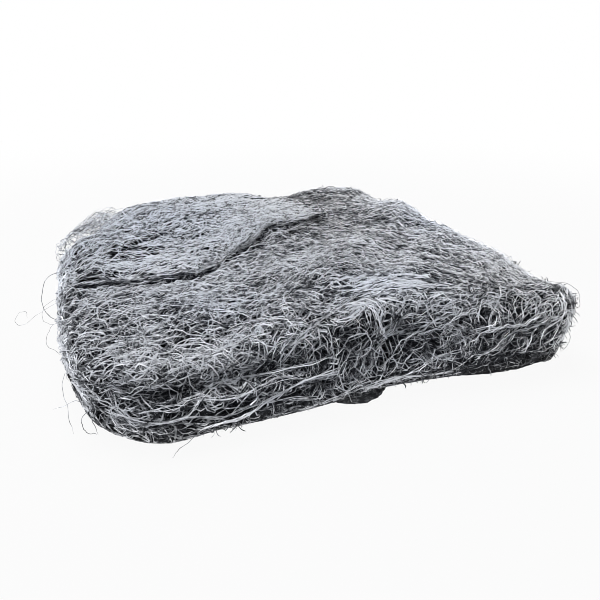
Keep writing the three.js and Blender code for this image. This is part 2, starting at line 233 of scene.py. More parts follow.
# Directions in which the strands lie. Spots of the top give x, y in mm and the angle from +X in degrees.
# Curls and crossings give x, y, reach in mm and the share of strands that curl there, or cross the grain.
grain = {
    "spots": (
        (-60, 40, 75), (-60, 15, 64), (-60, -12, 48), (-60, -40, 46), (-45, 52, 48), (-45, 24, 56),
        (-45, -4, -6), (-46, -30, 16), (-46, -52, 48), (-25, 54, 36), (-24, 32, 56), (-25, 10, 14),
        (-24, -14, 4), (-25, -34, 26), (-26, -54, 62), (-4, 56, 40), (-5, 30, 34), (-4, 10, 52),
        (-5, -10, 2), (-4, -30, 50), (-5, -52, 58), (12, 50, 20), (12, 22, 52), (12, -16, 32),
        (9, -40, -16), (5, -50, -18), (16, 4, -30), (18, -46, -40), (24, 30, -14), (26, -28, -34),
        (28, 52, -10), (34, -50, -70), (36, 8, -50), (38, -14, -56), (40, -34, -62), (44, 28, 4),
        (46, 54, -38), (56, 62, -42), (58, 30, -72), (57, 4, -58), (57, -22, -76), (57, -50, -88),
        (-52, -70, -10), (-34, -70, -10), (-16, -70, 16), (2, -70, 24), (20, -70, 24), (38, -70, 20),
        (56, -70, 16),
    ),
    "spread": 8.0, "wallSlope": 0.2, "wallPitch": 41.0, "wallClimb": 0.6,
    "curls": ((-36, -60, 30, 0.5), (-12, -64, 16, 0.5), (45, -68, 16, 0.6)),
    "crossings": ((-46, -42, 26, 0.6), (-8, -60, 14, 0.3), (52, -52, 14, 0.4), (-30, 20, 24, 0.4)),
    "crossScatter": 0.5,
}


# Grain at a place: on top the angles of the spots near it, blended by a bell of the distance; on the walls
# along the wall, climbing and falling in a slow wave
def grainAt(place, up):
    spots = np.array(grain["spots"], float)
    gap = place[..., None, :2] - spots[:, :2]
    weight = np.exp(-np.sum(gap ** 2, -1) / (2 * grain["spread"] ** 2)) + 1e-6
    twice = np.radians(2 * spots[:, 2])
    angle = np.arctan2(np.sum(weight * np.sin(twice), -1), np.sum(weight * np.cos(twice), -1)) / 2
    top = np.stack([np.cos(angle), np.sin(angle), 0 * angle], -1)
    wall = np.stack([-up[..., 1], up[..., 0], 0 * angle], -1)
    climb = wave(place[..., 0] + place[..., 1], grain["wallPitch"]) + grain["wallClimb"]
    wall[..., 2] = grain["wallSlope"] * climb
    level = up[..., 2:] ** 2
    return unit(top * level + wall * (1 - level))


# How much strides and curls differ from strand to strand, and how much of its bend a strand keeps at each
# step
gait = {"strides": (0.75, 1.25), "curls": (0.5, 1.3), "bendKept": 0.6}


# Lets strands walk over the slab: each step goes along the heading, is drawn back to the slab, and turns by
# a wandering bend and a pull towards the grain. A share crosses the grain instead, along the mat's depth
# give or take.
def walk(values, start, way):
    rng = np.random.default_rng(values["seed"] + 1)
    count = len(start)
    corner = values.get("cornerFarLeft", matForm["cornerFarLeft"])
    stride = values["step"] * rng.uniform(*gait["strides"], (count, 1))
    curlShare = values["curlShare"]
    for x, y, reach, more in grain["curls"]:
        curlShare = curlShare + more * bell(np.hypot(start[:, :1] - x, start[:, 1:2] - y) / reach)
    curling = rng.random((count, 1)) < curlShare
    handed = rng.choice([-1, 1], (count, 1)) * rng.uniform(*gait["curls"], (count, 1))
    steady = np.where(curling, values["curlTurn"] * handed, 0)
    crossRng = np.random.default_rng(values["seed"] + 6)
    crossShare = 0
    for x, y, reach, share in grain["crossings"]:
        crossShare = crossShare + share * bell(np.hypot(start[:, :1] - x, start[:, 1:2] - y) / reach)
    crossing = crossRng.random((count, 1)) < crossShare * values.get("crossing", 0)
    slant = grain["crossScatter"] * crossRng.standard_normal((count, 1))
    across = np.concatenate([np.sin(slant), np.cos(slant), 0 * slant], -1)
    way = np.where(crossing, across, way)
    bend = np.zeros((count, 1))
    at, places, ups = start, [], []
    for _ in range(values["steps"]):
        place, up = settle(at, corner)
        way = unit(way - dot(way, up) * up)
        along = np.where(crossing, across, grainAt(place, up))
        along = unit(along - dot(along, up) * up)
        turned = dot(np.cross(way, along), up) * dot(way, along)
        bend = gait["bendKept"] * bend + values["wander"] * rng.standard_normal((count, 1))
        turn = bend + steady + np.where(curling, 0, values["pull"] * 2 * turned)
        way = way * np.cos(turn) + np.cross(up, way) * np.sin(turn)
        places.append(place)
        ups.append(up)
        at = place + way * stride
        at[:, 2] = np.maximum(at[:, 2], values["lowest"])
    return np.stack(places, 1), np.stack(ups, 1)


# Headings at the start of a walk: the grain, turned either way by a random angle
def headings(rng, start, scatter):
    place, up = settle(start)
    way = grainAt(place, up)
    turn = scatter * rng.standard_normal((len(start), 1))
    return way * np.cos(turn) + np.cross(up, way) * np.sin(turn)


rippleWaves = {"shares": (1.0, 0.5, 0.3), "pitches": (0.7, 1.4)}


# Wandering shift along each strand: three sine waves of random pitch and phase, the shorter the lower
def ripple(rng, count, steps, size, pitch):
    total = np.zeros((count, steps))
    for share in rippleWaves["shares"]:
        turns = np.arange(steps) / (pitch * share * rng.uniform(*rippleWaves["pitches"], (count, 1)))
        total += size * share * np.sin(2 * np.pi * (turns + rng.random((count, 1))))
    return total


# Gives each leading strand a lock of followers: a stretch of the leader's path, moved sideways by a steady
# gap and a wandering one and drawn back to the slab
def makeLocks(values, places, ups, shorter):
    rng = np.random.default_rng(values["seed"] + 5)
    leaders, steps = places.shape[0], places.shape[1] - shorter
    count = leaders * values["lock"]
    first = rng.integers(0, shorter + 1, (count, 1))
    leader = np.repeat(np.arange(leaders), values["lock"])[:, None]
    pick = (leader, first + np.arange(steps))
    places, ups = places[pick], ups[pick]
    side = np.cross(ups, unit(np.gradient(places, axis=1)))
    gap = values["lockWidth"] * rng.standard_normal((count, 1))
    gap = gap + ripple(rng, count, steps, values["drift"], values["driftPitch"])
    return settle(places + side * gap[..., None])


# Height along each strand: a level and a slow sway, so that strands pass over and under each other. A lock's
# strands share part of both.
def weave(values, count, steps):
    rng = np.random.default_rng(values["seed"] + 2)
    low, high = values["levels"]
    lock, shared = values.get("lock", 1), values.get("lockShare", 0)
    middle, reach = (low + high) / 2, (high - low) / 2
    height = 0
    for copies, weight in ((lock, math.sqrt(shared)), (1, math.sqrt(1 - shared))):
        each = count // copies
        own = reach * rng.uniform(-1, 1, (each, 1))
        own = own + ripple(rng, each, steps, values["sway"], values["swayPitch"])
        height = height + weight * np.repeat(own, copies, 0)
    return middle + height


# Lighter and darker patches of the top in mm: x, y, reach and the change of tone
patches = (
    (9, -51, 11, -0.34), (12, -62, 9, 0.14), (-5, -49, 8, -0.1), (-15, -57, 8, -0.08), (-34, -59, 9, 0.16),
    (54, 10, 10, 0.14), (22, 14, 6, 0.14), (9, 5, 6, 0.1), (-60, -58, 9, 0.18), (30, -54, 10, -0.5),
    (33, -46, 8, -0.35), (2, -42, 7, -0.1), (-4, -6, 13, -0.14), (40, -64, 9, -0.2), (-32, 20, 34, 0.14),
    (-44, 30, 10, -0.2), (-39, 3, 10, 0.22), (-54, -16, 14, 0.1), (-64, -16, 10, -0.28), (38, 4, 24, -0.27),
    (38, 54, 16, -0.65), (23, 66, 9, -0.6), (17, 34, 9, 0.12), (46, -28, 13, -0.14), (62, 0, 12, 0.2),
    (60, -36, 12, 0.1), (55, 45, 20, -0.1), (8, 34, 14, 0.1), (-20, -58, 14, 0.08), (-40, -64, 7, 0.25),
    (56, -63, 14, -0.16),
)

# Lighter and darker patches of the front wall in mm: x, z, reach and the change of tone. A patch is low and
# wide. The dark ones near the floor are painted shade, and the darkest, at x 38 and 54, paint the shadow in
# the gap under the right part of the front edge.
wallPatches = (
    (-36, 7, 18, -0.26), (-55, 9, 12, -0.3), (-28, 4, 15, -0.32), (-46, 0, 9, 0.55), (-17, 9, 10, -0.25),
    (-4, 12, 9, -0.25), (10, 8, 9, -0.2), (27, 16, 8, 0.15), (46, 6, 15, -0.2), (38, 0, 14, -1.0),
    (54, 0, 10, -0.5),
)
wallPatchFlatness = 2.5
darkest = -0.4  # tone of the blackest strands, below the lead's darkest colour at 0

# Freshly shaved, bluish places and tarnished, greyer ones in mm: x, y, reach and the change of freshness
freshPatches = (
    (-40, 20, 34, 0.35), (-20, 45, 24, 0.2), (14, -48, 12, 0.35), (62, 0, 14, 0.35), (-28, -42, 14, 0.25),
    (30, 8, 16, -0.2), (38, 50, 20, -0.35), (60, -60, 24, -0.25), (-45, -66, 16, -0.1),
)
freshness = {"mean": 0.45, "footLoss": 0.3, "footHeight": 4.0}


# Freshness along each strand: the mean, the patch that it lies in, and less near the floor
def freshAlong(path):
    mm = path * 1000 - np.array(matForm["middle"])
    total = freshness["mean"] - freshness["footLoss"] * bell(mm[..., 2] / freshness["footHeight"])
    for x, y, reach, change in freshPatches:
        gap = (mm[..., 0] - x) ** 2 + (mm[..., 1] - y) ** 2
        total = total + change * np.exp(-gap / reach ** 2)
    return np.clip(total, 0, 1)


# Tone along each strand: a lock's own, each strand's own, the patch that it lies in, and painted shade:
# darker where it lies deeper, in a hollow, beside the fold, on a side or near the floor, and lighter or
# darker on the left side
def toneAlong(values, places, ups, height):
    rng = np.random.default_rng(values["seed"] + 3)
    count = len(places)
    lock = values.get("lock", 1)
    shared = np.repeat(rng.standard_normal((count // lock, 1)), lock, 0) * values["lockTone"]
    own = rng.standard_normal((count, 1)) * values["toneSpread"]
    patch = 0
    for x, y, reach, change in patches:
        gap = (places[..., 0] - x) ** 2 + (places[..., 1] - y) ** 2
        patch = patch + change * np.exp(-gap / reach ** 2)
    patch = patch * np.maximum(ups[..., 2], 0)
    # Front wall patches: the dark ones near the floor are painted shade and painted shadow
    for x, z, reach, change in wallPatches:
        gap = (places[..., 0] - x) ** 2 + (wallPatchFlatness * (places[..., 2] - z)) ** 2
        patch = patch + change * np.exp(-gap / reach ** 2) * np.maximum(-ups[..., 1], 0)
    low, high = values["levels"]
    # Painted shade: deeper strands, and strands in the hollows, beside the fold, on the walls, on the left
    # side and near the floor, get a darker tone
    deep = values["deepShade"] * ((height - low) / (high - low) - 0.5)
    shaded = values.get("hollowShade", 0) * pressedIn(places, ups)
    shaded = shaded + values.get("foldShade", 0) * besideFold(places, ups)
    shaded = shaded + values.get("sideShade", 0) * (1 - np.maximum(ups[..., 2], 0)) ** 2
    shaded = shaded + values.get("leftShade", 0) * np.maximum(-ups[..., 0], 0) ** 3
    shaded = shaded + values.get("footShade", 0) * bell(places[..., 2] / values.get("footHeight", 1))
    return np.clip(values["tone"] + shared + own + patch + deep - shaded, darkest, 1)


# Tone of each strand in a piece that has no patches: its mean, give or take
def toneOfEach(rng, values, count, lowest=0):
    return np.clip(values["tone"] + values["toneSpread"] * rng.standard_normal((count, 1)), lowest, 1)


widths = {"spread": 0.3, "least": 0.5, "most": 2.0}


# Width of each strand in mm: the piece's own width times a random share, so that a few are much broader
def pickWidth(values, count):
    rng = np.random.default_rng(values["seed"] + 4)
    share = np.exp(widths["spread"] * rng.standard_normal(count))
    return values["width"] * np.clip(share, widths["least"], widths["most"])


bar = {"sideways": 1.15, "upwards": 0.9, "tip": 0.25, "taper": 9.0, "mapMargin": 0.06}


# Three-sided bars along paths: each ring is the path's point plus the bar's half width, turned to the path.
# Both ends taper and are closed. Every bar has its own square patch of the map.
def strandMesh(name, path, up, width, tone, material):
    count, steps, _ = path.shape
    along = unit(np.gradient(path, axis=1))
    side = unit(np.cross(along, up))
    lift = np.cross(side, along)
    i = np.linspace(0, 1, steps)[None, :, None]
    taper = np.minimum(1, bar["tip"] + bar["taper"] * np.minimum(i, 1 - i))
    half = (width / 2000)[:, None, None] * taper
    angle = 2 * np.pi * np.arange(3) / 3 + np.pi / 2
    ring = np.cos(angle)[:, None] * side[:, :, None, :] * bar["sideways"]
    ring = ring + np.sin(angle)[:, None] * lift[:, :, None, :] * bar["upwards"]
    points = path[:, :, None, :] + half[..., None] * ring
    points[..., 2] = np.maximum(points[..., 2], 0)
    first = (np.arange(count) * steps * 3)[:, None, None]
    row = np.arange(steps - 1)[None, :, None]
    k = np.arange(3)[None, None, :]
    a, b = first + row * 3 + k, first + row * 3 + (k + 1) % 3
    quads = np.stack([a, a + 3, b + 3, b], -1).reshape(-1, 4)
    start = first[:, 0, 0, None]
    ends = np.stack([start + np.arange(3), start + steps * 3 - 1 - np.arange(3)], 1).reshape(-1, 3)
    patch = math.ceil(math.sqrt(count))
    margin, share = bar["mapMargin"], 1 - 2 * bar["mapMargin"]
    cell = np.stack([np.arange(count) % patch, np.arange(count) // patch], -1)
    u = np.broadcast_to(np.stack([row, row + 1, row + 1, row], -1) / (steps - 1), (count, steps - 1, 3, 4))
    v = np.broadcast_to(np.stack([k, k, k + 1, k + 1], -1) / 3, (count, steps - 1, 3, 4))
    quadMap = (cell[:, None, None, None] + margin + share * np.stack([u, v], -1)) / patch
    capU = np.array([[0.0, 0.0, 0.02], [1.0, 1.0, 0.98]])
    capV = np.array([[0.0, 0.4, 0.2], [0.6, 1.0, 0.8]])
    capMap = (cell[:, None, None] + margin + share * np.stack([capU, capV], -1)[None]) / patch
    uv = np.concatenate([quadMap.reshape(-1, 2), capMap.reshape(-1, 2)])
    shade = np.repeat(np.broadcast_to(tone, (count, steps)), 3, axis=1).ravel()
    fresh = np.repeat(freshAlong(path), 3, axis=1).ravel()
    makePiece(name, points.reshape(-1, 3), quads, ends, material, {"tone": shade, "fresh": fresh}, uv)
    print(name, count, "strands", len(quads) * 2 + len(ends), "triangles")


# Puts points, four-cornered and three-cornered faces into a mesh object that rides on the mat
def makePiece(name, points, quads, tris, material, shades=None, uv=None):
    mesh = bpy.data.meshes.new(name)
    corners = np.concatenate([quads.ravel(), tris.ravel()]).astype(np.int32)
    starts = np.concatenate([np.arange(len(quads)) * 4, len(quads) * 4 + np.arange(len(tris)) * 3])
    starts = starts.astype(np.int32)
    mesh.vertices.add(len(points))
    mesh.vertices.foreach_set("co", points.astype(np.float32).ravel())
    mesh.loops.add(len(corners))
    mesh.loops.foreach_set("vertex_index", corners)
    mesh.polygons.add(len(starts))
    mesh.polygons.foreach_set("loop_start", starts)
    mesh.polygons.foreach_set("use_smooth", np.full(len(starts), shades is None))
    mesh.update(calc_edges=True)
    for key, values in (shades or {}).items():
        mesh.attributes.new(key, "FLOAT", "POINT").data.foreach_set("value", values.astype(np.float32))
    if uv is not None:
        mesh.uv_layers.new(name="OFBake").uv.foreach_set("vector", uv.astype(np.float32).ravel())
    mesh.materials.append(material)
    piece = bpy.data.objects.new(name, mesh)
    scene.collection.objects.link(piece)
    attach(piece, "root")
    return piece


def addNode(tree, kind, settings=None, inputs=None):  # inputs are plain values, or sockets to link from
    node = tree.nodes.new(kind)
    for key, value in (settings or {}).items():
        setattr(node, key, value)
    for key, value in (inputs or {}).items():
        if isinstance(value, bpy.types.NodeSocket):
            tree.links.new(value, node.inputs[key])
        else:
            node.inputs[key].default_value = value
    return node


def addMath(tree, operation, *values):  # one arithmetic node
    return addNode(tree, "ShaderNodeMath", {"operation": operation}, dict(enumerate(values))).outputs[0]


def setRamp(node, stops):  # each stop is a position and its colour
    ramp, stops = node.color_ramp, list(stops)
    while len(ramp.elements) < len(stops):
        ramp.elements.new(0.5)
    for element, (position, colour) in zip(ramp.elements, stops):
        element.position = position
        element.color = (*colour, 1)


# Bare lead: bright where it was freshly shaved, dull where it has tarnished. The nearly black end of the
# ramps is painted shade deep inside the mat, and the bright end also carries painted glints and sheen. Each
# tone has a grey and a bluish colour.
leadLook = {
    "grey": ((0.018, 0.019, 0.021), (0.122, 0.125, 0.131), (0.357, 0.362, 0.373), (0.81, 0.815, 0.835)),
    "bluish": ((0.015, 0.019, 0.028), (0.11, 0.123, 0.148), (0.335, 0.36, 0.41), (0.75, 0.8, 0.895)),
    "tones": (0.0, 0.25, 0.55, 0.92), "metal": 0.45, "specular": 0.2,
    "patchSize": 60.0, "patchShare": 0.1, "glintSize": 700.0, "glintShare": 1.4, "detail": 3.0,
    "gritSize": 1800.0, "gritDetail": 2.0, "roughLow": 0.24, "roughHigh": 0.46,
}


# Tone plus two sizes of noise picks a colour from the grey and the bluish ramp, and freshness mixes the two.
# The finer noise paints glints: short bright and dark dashes along the strands.
def leadMaterial():
    look = leadLook
    material = bpy.data.materials.new("shaved lead")
    material.use_nodes = True
    tree = material.node_tree
    shader = tree.nodes["Principled BSDF"]
    place = addNode(tree, "ShaderNodeTexCoord").outputs["Object"]
    tone = addNode(tree, "ShaderNodeAttribute", {"attribute_name": "tone"}).outputs["Fac"]
    # The coarse noise is tone that differs from place to place, the fine noise is painted glints
    for size, share in ((look["patchSize"], look["patchShare"]), (look["glintSize"], look["glintShare"])):
        noise = addNode(tree, "ShaderNodeTexNoise", None,
                        {"Vector": place, "Scale": size, "Detail": look["detail"]}).outputs["Fac"]
        spread = addMath(tree, "MULTIPLY_ADD", noise, share, -share / 2)
        tone = addMath(tree, "ADD", tone, spread)
    fresh = addNode(tree, "ShaderNodeAttribute", {"attribute_name": "fresh"}).outputs["Fac"]
    colour = addNode(tree, "ShaderNodeMix", {"data_type": "RGBA"}, {"Factor": fresh})
    for tint, socket in (("grey", 6), ("bluish", 7)):
        ramp = addNode(tree, "ShaderNodeValToRGB", None, {"Fac": tone})
        setRamp(ramp, zip(look["tones"], look[tint]))
        tree.links.new(ramp.outputs["Color"], colour.inputs[socket])
    grit = addNode(tree, "ShaderNodeTexNoise", None,
                   {"Vector": place, "Scale": look["gritSize"], "Detail": look["gritDetail"]}).outputs["Fac"]
    rough = addNode(tree, "ShaderNodeMapRange", None,
                    {"Value": grit, "To Min": look["roughLow"], "To Max": look["roughHigh"]})
    tree.links.new(colour.outputs[2], shader.inputs["Base Color"])
    tree.links.new(rough.outputs["Result"], shader.inputs["Roughness"])
    shader.inputs["Metallic"].default_value = look["metal"]
    shader.inputs["Specular IOR Level"].default_value = look["specular"]
    return material


# The imported inside of the mat, seen through the gaps. Its strands are the lines of equal height of a noise
# field: lines lie on it in layers, each with its own size, stretch and tone, and each layer covers the one
# below. Its near-black gap colour and dark layer tones are painted shade deep inside the wool.
insideLook = {
    "gap": (0.006, 0.006, 0.0065), "tint": (1.0, 1.03, 1.12), "rough": 0.6, "detail": 2.0, "kink": 0.6,
    "ridgeHeight": 0.0005, "ridgeStrength": 0.8, "layerHeight": 0.5,
    "layers": (
        {"size": 110.0, "lines": 9.0, "width": 0.16, "stretch": (1.0, 1.6, 1.3), "shift": 1.3, "tone": 0.03},
        {"size": 90.0, "lines": 7.0, "width": 0.14, "stretch": (0.6, 1.5, 1.2), "shift": 4.1, "tone": 0.06},
        {"size": 130.0, "lines": 5.0, "width": 0.12, "stretch": (1.2, 0.7, 1.0), "shift": 7.7, "tone": 0.11},
        {"size": 70.0, "lines": 6.0, "width": 0.09, "stretch": (0.7, 1.3, 1.5), "shift": 9.2, "tone": 0.2},
    ),
}


def strandLines(tree, place, layer):  # 1 on the middle of a line, 0 beside it
    shift = (layer["shift"],) * 3
    moved = addNode(tree, "ShaderNodeMapping", None,
                    {"Vector": place, "Location": shift, "Scale": layer["stretch"]}).outputs[0]
    field = addNode(tree, "ShaderNodeTexNoise", None,
                    {"Vector": moved, "Scale": layer["size"], "Detail": insideLook["detail"],
                     "Distortion": insideLook["kink"]}).outputs["Fac"]
    steps = addMath(tree, "MULTIPLY", field, layer["lines"])
    off = addMath(tree, "PINGPONG", steps, 0.5)
    return addNode(tree, "ShaderNodeMapRange", {"interpolation_type": "SMOOTHSTEP"},
                   {"Value": off, "From Max": layer["width"], "To Min": 1.0, "To Max": 0.0}).outputs["Result"]


# Each layer's lines are mixed over the colour below them, and raise the bump by a step
def insideMaterial():
    look = insideLook
    material = bpy.data.materials.new("packed strands")
    material.use_nodes = True
    tree = material.node_tree
    shader = tree.nodes["Principled BSDF"]
    place = addNode(tree, "ShaderNodeTexCoord").outputs["Object"]
    colour, height = None, 0.0
    for layer in look["layers"]:
        line = strandLines(tree, place, layer)
        tint = addNode(tree, "ShaderNodeMix", {"data_type": "RGBA"}, {"Factor": line})
        below, above = tint.inputs[6], tint.inputs[7]
        if colour:
            tree.links.new(colour, below)
        else:
            below.default_value = (*look["gap"], 1)
        above.default_value = (*[layer["tone"] * part for part in look["tint"]], 1)
        colour = tint.outputs[2]
        height = addMath(tree, "MULTIPLY_ADD", line, look["layerHeight"], height)
    ridges = addNode(tree, "ShaderNodeBump", None,
                     {"Height": height, "Strength": look["ridgeStrength"], "Distance": look["ridgeHeight"]})
    tree.links.new(colour, shader.inputs["Base Color"])
    tree.links.new(ridges.outputs["Normal"], shader.inputs["Normal"])
    shader.inputs["Roughness"].default_value = look["rough"]
    shader.inputs["Specular IOR Level"].default_value = 0.0
    return material


lead = leadMaterial()
packed = insideMaterial()

# Core of the mat: its mesh, its depth below the strands in mm, and the part of each line that lies on one
# flat side
matCore = {"around": 220, "across": 90, "depth": 1.3, "wallDepth": 2.4, "flatShare": 0.36, "floorGap": 0.0006}


# Core: lines that run from the middle of the underside out to the edge, up the wall and in to the middle of
# the top, drawn onto the slab and set below the strands
def buildCore():
    f = matForm
    turn = 2 * np.pi * np.arange(matCore["around"]) / matCore["around"]
    square = np.stack([np.cos(turn), np.sin(turn)], -1)
    square = square / np.max(np.abs(square), -1, keepdims=True) * (f["length"] / 2, f["depth"] / 2)
    t = np.linspace(0, 1, matCore["across"] + 2)[1:-1]
    flat = matCore["flatShare"]
    out = np.clip(np.minimum(t, 1 - t) / flat, 0, 1)
    rise = np.clip((t - flat) / (1 - 2 * flat), 0, 1) * f["thickness"]
    rise = np.broadcast_to(rise[None, :, None], (len(turn), len(t), 1))
    p = np.concatenate([square[:, None] * out[None, :, None], rise], -1)
    poles = np.array([[0, 0, 0.0], [0, 0, f["thickness"]]])
    place, up = settle(np.concatenate([p.reshape(-1, 3), poles]))
    depth = matCore["wallDepth"] + (matCore["depth"] - matCore["wallDepth"]) * up[:, 2] ** 2
    points = onMat(place, up, -depth - besideFold(place, up))
    points[:, 2] = np.maximum(points[:, 2], matCore["floorGap"])
    i, j = np.arange(len(turn))[:, None], np.arange(len(t) - 1)[None, :]
    here, onward = i * len(t) + j, (i + 1) % len(turn) * len(t) + j
    quads = np.stack([here, onward, onward + 1, here + 1], -1).reshape(-1, 4)
    ring = np.arange(len(turn)) * len(t)
    after = np.roll(ring, -1)
    bottom, top = len(points) - 2, len(points) - 1
    tris = np.concatenate([
        np.stack([after, ring, np.full_like(ring, bottom)], -1),
        np.stack([ring + len(t) - 1, after + len(t) - 1, np.full_like(ring, top)], -1),
    ])
    core = makePiece("wool_core", points, quads, tris, packed)
    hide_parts("lead_wool_pad")
    print("wool_core", len(quads) * 2 + len(tris), "triangles")


buildCore()

# Core of the folded end: its mesh, and in mm how far it lies inside the strands
foldCore = {"columns": 70, "half": 40, "skin": 0.6, "base": 0.3, "setBack": 1.4, "startGap": 1.0,
            "endGap": 1.5, "roundness": 12.0, "endShare": 0.02}


# Inside of the folded end: a closed section from the lip over the top to the back and home underneath,
# carried from left to right, and brought together at both ends
def buildFoldCore():
    f = foldForm
    first, last = f["sideGap"] + foldCore["startGap"], f["length"] - foldCore["endGap"]
    fromLeft = np.linspace(first, last, foldCore["columns"])[:, None]
    sweep = np.linspace(0, 1, foldCore["half"])
    share = np.concatenate([sweep, sweep[::-1]])[None, :]
    isUpper = np.concatenate([np.ones(foldCore["half"]), np.zeros(foldCore["half"])])[None, :]
    lip = foldReach(fromLeft) - foldCore["setBack"]
    fromBack = lip + (f["sideGap"] - lip) * share
    x = fromLeft * foldEnd(fromBack) / f["length"] - matForm["length"] / 2
    y = matForm["depth"] / 2 - fromBack
    upper, lower, _, _ = foldHeights(x, y)
    upper, lower = upper - foldCore["skin"], lower + foldCore["base"]
    upper = np.maximum(upper, lower)
    middle = (upper + lower) / 2
    fromEnd = np.minimum(share, 1 - share) * foldCore["roundness"]
    closing = np.sqrt(np.clip(fromEnd, 0, 1)) * np.ones_like(fromLeft)
    closing[[0, -1]] = foldCore["endShare"]
    height = middle + (np.where(isUpper > 0, upper, lower) - middle) * closing
    place, up = settle(np.stack([x, y, np.full_like(x, matForm["thickness"])], -1))
    points = onMat(place, up, height)
    columns, loop = x.shape
    i, j = np.arange(columns - 1)[:, None], np.arange(loop)[None, :]
    here, onward = i * loop + j, i * loop + (j + 1) % loop
    quads = np.stack([here, here + loop, onward + loop, onward], -1).reshape(-1, 4)
    half = np.arange(foldCore["half"] - 1)
    endQuads = np.stack([half, half + 1, loop - 2 - half, loop - 1 - half], -1)
    quads = np.concatenate([quads, endQuads, (columns - 1) * loop + endQuads[:, ::-1]])
    makePiece("fold_core", points.reshape(-1, 3), quads, np.zeros((0, 3), int), packed)
    print("fold_core", len(quads) * 2, "triangles")


buildFoldCore()

# Locks of the open top, single strands between them, and a bright patch that is combed one way; the patch's
# high tone paints part of the sheen of its combed strands. Lengths are in mm: region is x, y and the reach
# either way, and underFold is how far under the folded end a strand may start.
# The deep, hollow, fold, side and left values darken the top strands as painted shade
topLocks = {
    "leaders": 1000, "lock": 3, "lockWidth": 1.0, "lockShare": 0.3, "crossing": 0.5, "drift": 0.5,
    "driftPitch": 5, "steps": 16, "shorter": 5, "step": 1.9, "width": 0.22, "wander": 0.19, "pull": 0.36,
    "curlShare": 0.04, "curlTurn": 0.55, "scatter": 0.4, "levels": (-0.8, 0.1), "sway": 0.38,
    "swayPitch": 4, "lowest": 1.0, "tone": 0.35, "toneSpread": 0.35, "lockTone": 0.12, "deepShade": 0.9,
    "hollowShade": 0.2, "foldShade": 1.3, "sideShade": 0.3, "leftShade": 0.15,
    "region": (0, 0, matForm["length"] / 2, matForm["depth"] / 2), "underFold": 6.0, "overShare": 0.05,
    "climbFrom": -4.0, "climbTo": 2.0, "seed": 11,
}
topStrays = dict(
    topLocks, crossing=1.0, leaders=3900, lock=1, lockWidth=0.0, drift=0.35, steps=9, shorter=0, wander=0.32,
    pull=0.2, curlShare=0.05, scatter=0.85, toneSpread=0.36, lockTone=0.0, overShare=0.1, seed=12)
# The combed patch's high tone is partly painted sheen
combedPatch = dict(
    topLocks, crossing=0.0, width=0.32, lockWidth=0.8, lockTone=0.3, leaders=56, lock=4, steps=12, shorter=4,
    step=1.7, wander=0.1, pull=0.15, curlShare=0.0, scatter=0.14, levels=(0.0, 0.7), sway=0.2, tone=0.8,
    toneSpread=0.6, overShare=0.0, region=(8, -56, 12, 9), seed=15)


# Strands of the open top: started at random places outside the folded end, along the grain give or take.
# Where they come to the fold, most go on under it and a share climbs over its edge. Enough spare places are
# drawn to fill up for those that lie under the fold.
def buildTop(name, values):
    rng = np.random.default_rng(values["seed"])
    x, y, reachX, reachY = values["region"]
    spot = (x, y) + rng.uniform(-1, 1, (values["leaders"] * 4, 2)) * (reachX, reachY)
    spot = spot[insideFold(spot[:, 0], spot[:, 1])[0] < values["underFold"]][:values["leaders"]]
    start = np.concatenate([spot, np.full((len(spot), 1), matForm["thickness"])], -1)
    places, ups = walk(values, start, headings(rng, start, values["scatter"]))
    places, ups = makeLocks(values, places, ups, values["shorter"])
    height = weave(values, *places.shape[:2])
    upper, _, edge, _ = foldHeights(places[..., 0], places[..., 1])
    right = smoothStep(places[..., 0] + matForm["length"] / 2, foldForm["bendStart"], foldForm["bendEnd"])
    climb = smoothStep(edge, values["climbFrom"], values["climbTo"]) * right
    climb = climb * (rng.random((len(places), 1)) < values["overShare"])
    path = onMat(places, ups, height + climb * upper - (1 - climb) * besideFold(places, ups))
    strandMesh(name, path, ups, pickWidth(values, len(path)), toneAlong(values, places, ups, height), lead)


buildTop("top_locks", topLocks)
buildTop("top_strays", topStrays)
buildTop("combed_patch", combedPatch)

# The crack, under and left values darken the fold's strands as painted shade
foldStrands = {
    "leaders": 1800, "lock": 2, "lockWidth": 0.5, "lockShare": 0.3, "crossing": 0.6, "drift": 0.3,
    "driftPitch": 7, "steps": 12, "shorter": 3, "step": 1.5, "width": 0.24, "wander": 0.24, "pull": 0.2,
    "curlShare": 0.04, "curlTurn": 0.3, "scatter": 0.55, "levels": (-0.45, 0.1), "sway": 0.22,
    "swayPitch": 4.5, "lowest": 6.0, "tone": 0.62, "toneSpread": 0.48, "lockTone": 0.32, "deepShade": 0.8,
    "leftShade": 0.25, "crackShade": 1.2, "tipMargin": 1.0, "lipMargin": 0.8, "freeShare": 0.12,
    "freeReach": 4.0, "underShare": 0.25, "underShade": 1.2, "turnWidth": 0.8, "seed": 21,
}


